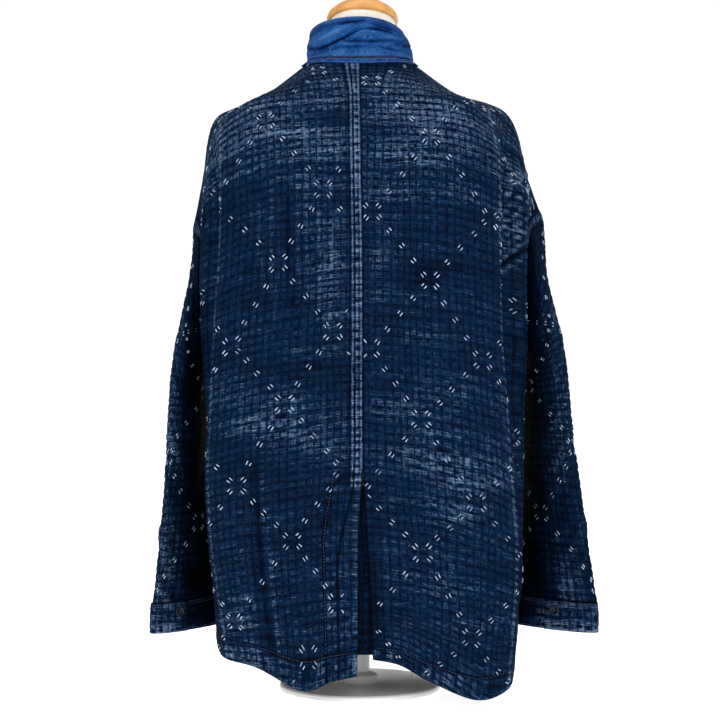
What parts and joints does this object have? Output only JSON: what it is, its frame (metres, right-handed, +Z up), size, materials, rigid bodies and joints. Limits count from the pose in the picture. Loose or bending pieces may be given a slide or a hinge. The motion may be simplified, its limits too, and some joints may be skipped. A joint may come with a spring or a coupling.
{
  "type": "sashiko shirt jacket on a dress form",
  "caption": "Worn-shape stand-collar shirt jacket in indigo sashiko gauze on a limbless counter-top dress form.",
  "frame": {"origin": "middle of the stand's base plate, on its underside", "axes": "+Z up, -Y out of the jacket's back, +X to the wearer's right"},
  "size_m": [0.5505, 0.2555, 0.8584],
  "materials": {
    "indigo_gauze": "faded indigo double gauze with white running stitches",
    "blue_gauze": "plain lighter indigo cotton, crumpled",
    "dark_button": "dark four-hole button",
    "form_linen": "cream linen cover",
    "cap_wood": "turned light wood, satin",
    "white_steel": "white powder coat"
  },
  "bodies": {
    "root": {"back_right": "indigo_gauze", "back_left": "indigo_gauze", "front_right": "indigo_gauze", "front_left": "indigo_gauze", "vent_underlap": "indigo_gauze", "sleeve_right": "indigo_gauze", "sleeve_left": "indigo_gauze", "cuff_right": "indigo_gauze", "cuff_left": "indigo_gauze", "neck_binding": "blue_gauze", "collar": "blue_gauze", "cuff_button_right": "dark_button", "cuff_button_left": "dark_button", "front_button_1": "dark_button", "front_button_2": "dark_button", "front_button_3": "dark_button", "front_button_4": "dark_button", "front_button_5": "dark_button", "form_torso": "form_linen", "neck_cap": "cap_wood", "stand": "white_steel"}
  },
  "joints": []
}
